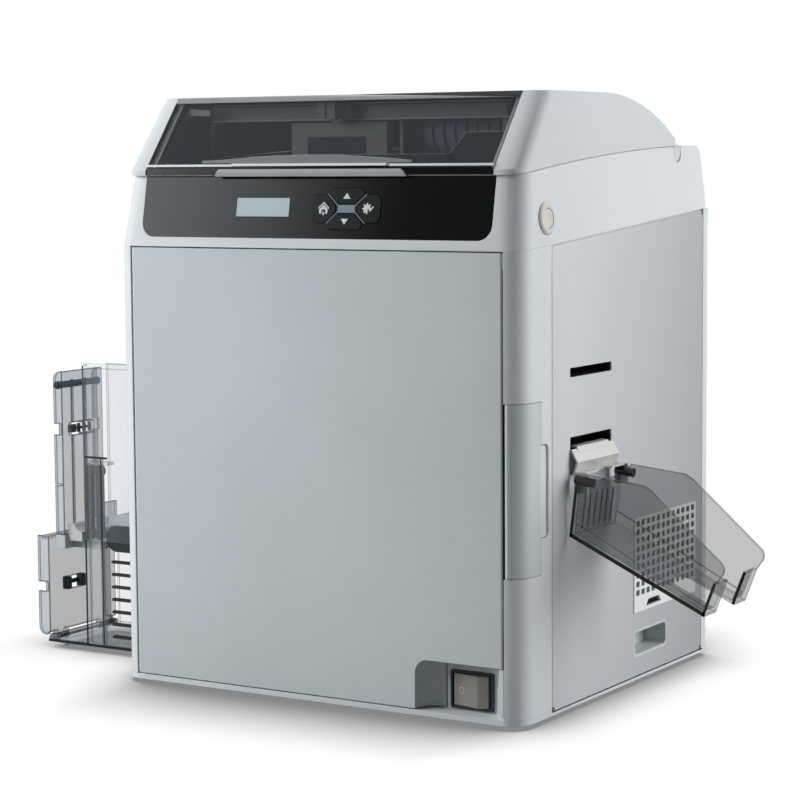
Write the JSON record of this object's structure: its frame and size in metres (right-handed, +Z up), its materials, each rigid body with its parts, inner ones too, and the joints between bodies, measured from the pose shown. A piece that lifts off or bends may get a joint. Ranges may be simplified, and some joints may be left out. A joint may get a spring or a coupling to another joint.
{
  "type": "id card printer",
  "caption": "Desktop id card printer with a smoked top cover, front door, key pad, clear card hopper and hooked-on output tray",
  "frame": {"origin": "middle of the whole outline's footprint, on the desk under the rubber feet", "axes": "+X to the printer's right (tray side), +Y to its back, +Z up; the door faces -Y"},
  "size_m": [0.5434, 0.276, 0.3956],
  "materials": {
    "white_shell": "fine matt",
    "grey_shell": "fine matt",
    "door_shell": "fine matt",
    "steel_skin": "smooth powder coat",
    "black_gloss": "polished",
    "dark_plastic": "moulded",
    "display": "gloss",
    "light_bar": "gloss",
    "smoked": "polished",
    "clear": "polished",
    "smoke_tray": "polished",
    "rubber": "matt",
    "bright_steel": "brushed",
    "sheet_metal": "satin",
    "board": "solder mask",
    "film": "satin",
    "alloy": "extruded"
  },
  "bodies": {
    "housing": {"base_tray": "grey_shell", "rubber_feet": "rubber", "left_column": "grey_shell", "right_column": "grey_shell", "left_side_panel": "steel_skin", "right_side_panel": "steel_skin", "rear_panel": "grey_shell", "upper_housing": "white_shell", "control_panel": "black_gloss", "display_window": "display", "key_light_bar": "light_bar", "control_board": "board", "release_ring": "white_shell", "switch_housing": "grey_shell", "power_bezel": "dark_plastic", "door_hinge_pins": "bright_steel", "handle_pins": "bright_steel", "cover_hinge_pins": "bright_steel", "vent_grille": "steel_skin", "carry_cups": "grey_shell", "slot_guides": "dark_plastic", "output_bracket": "sheet_metal", "output_tray": "smoke_tray", "hopper_frame": "clear", "hopper_end_wall": "clear", "hopper_rod": "dark_plastic", "hopper_deck": "sheet_metal", "hopper_door_pin": "bright_steel", "guard_lever": "dark_plastic", "feed_bed": "dark_plastic", "feed_plate": "sheet_metal", "stack_comb": "dark_plastic", "inner_chassis": "sheet_metal", "ribbon_cassette": "dark_plastic", "print_head": "alloy", "film_cassette": "dark_plastic", "drive_motor": "dark_plastic", "main_board": "board", "power_supply": "sheet_metal", "cooling_fan": "dark_plastic", "power_inlet": "dark_plastic"},
    "door": {"front_door": "door_shell"},
    "handle": {"door_handle": "door_shell"},
    "cover": {"top_cover": "white_shell", "cover_window": "smoked", "cover_grip": "white_shell"},
    "key_up": {"up_key": "black_gloss"},
    "key_down": {"down_key": "black_gloss"},
    "key_home": {"home_key": "black_gloss"},
    "key_confirm": {"confirm_key": "black_gloss"},
    "release": {"release_button": "white_shell"},
    "rocker": {"power_rocker": "dark_plastic"},
    "box_door": {"hopper_door": "clear", "door_clip": "dark_plastic"},
    "feed": {"feed_roller": "rubber"},
    "supply": {"ribbon_supply": "film"},
    "takeup": {"ribbon_takeup": "film"},
    "platen": {"platen_roller": "rubber"},
    "film": {"film_roll": "film"},
    "fan": {"fan_rotor": "dark_plastic"}
  },
  "joints": [
    {"name": "door_hinge", "type": "hinge", "parent": "housing", "child": "door", "pos_m": [-0.12776, -0.135, 0.15], "axis": [0, 0, -1], "range_deg": [0, 110]},
    {"name": "cover_hinge", "type": "hinge", "parent": "housing", "child": "cover", "pos_m": [0.00994, 0.094, 0.35646], "axis": [-1, 0, 0], "range_deg": [0, 70]},
    {"name": "handle_hinge", "type": "hinge", "parent": "housing", "child": "handle", "pos_m": [0.15454, -0.1357, 0.1496], "axis": [0, 0, -1], "range_deg": [0, 30]},
    {"name": "up_press", "type": "slide", "parent": "housing", "child": "key_up", "axis": [0, 0.9833, -0.1822], "range_m": [0, 0.0009], "stiffness_N_per_m": 400},
    {"name": "down_press", "type": "slide", "parent": "housing", "child": "key_down", "axis": [0, 0.9833, -0.1822], "range_m": [0, 0.0009], "stiffness_N_per_m": 400},
    {"name": "home_press", "type": "slide", "parent": "housing", "child": "key_home", "axis": [0, 0.9833, -0.1822], "range_m": [0, 0.0009], "stiffness_N_per_m": 400},
    {"name": "confirm_press", "type": "slide", "parent": "housing", "child": "key_confirm", "axis": [0, 0.9833, -0.1822], "range_m": [0, 0.0009], "stiffness_N_per_m": 400},
    {"name": "release_press", "type": "slide", "parent": "housing", "child": "release", "axis": [-0.9971, 0, -0.0767], "range_m": [0, 0.002], "stiffness_N_per_m": 400},
    {"name": "power_switch", "type": "hinge", "parent": "housing", "child": "rocker", "pos_m": [0.12154, -0.1203, 0.0197], "axis": [0, 0, 1], "range_deg": [0, 12]},
    {"name": "box_door_hinge", "type": "hinge", "parent": "housing", "child": "box_door", "pos_m": [-0.26206, -0.03725, 0.007], "axis": [0, -1, 0], "range_deg": [0, 45]},
    {"name": "feed_spin", "type": "hinge", "parent": "housing", "child": "feed", "pos_m": [-0.17006, -0.0442, 0.0915], "axis": [0, 1, 0], "continuous": true},
    {"name": "supply_spin", "type": "hinge", "parent": "housing", "child": "supply", "pos_m": [-0.03606, -0.0442, 0.2646], "axis": [0, 1, 0], "continuous": true},
    {"name": "takeup_spin", "type": "hinge", "parent": "housing", "child": "takeup", "pos_m": [0.05594, -0.0442, 0.2646], "axis": [0, 1, 0], "continuous": true},
    {"name": "platen_spin", "type": "hinge", "parent": "housing", "child": "platen", "pos_m": [0.00994, -0.0442, 0.2104], "axis": [0, 1, 0], "continuous": true},
    {"name": "film_spin", "type": "hinge", "parent": "housing", "child": "film", "pos_m": [0.08394, -0.0502, 0.371], "axis": [1, 0, 0], "continuous": true},
    {"name": "fan_spin", "type": "hinge", "parent": "housing", "child": "fan", "pos_m": [-0.07806, 0.128, 0.214], "axis": [0, 1, 0], "continuous": true}
  ]
}
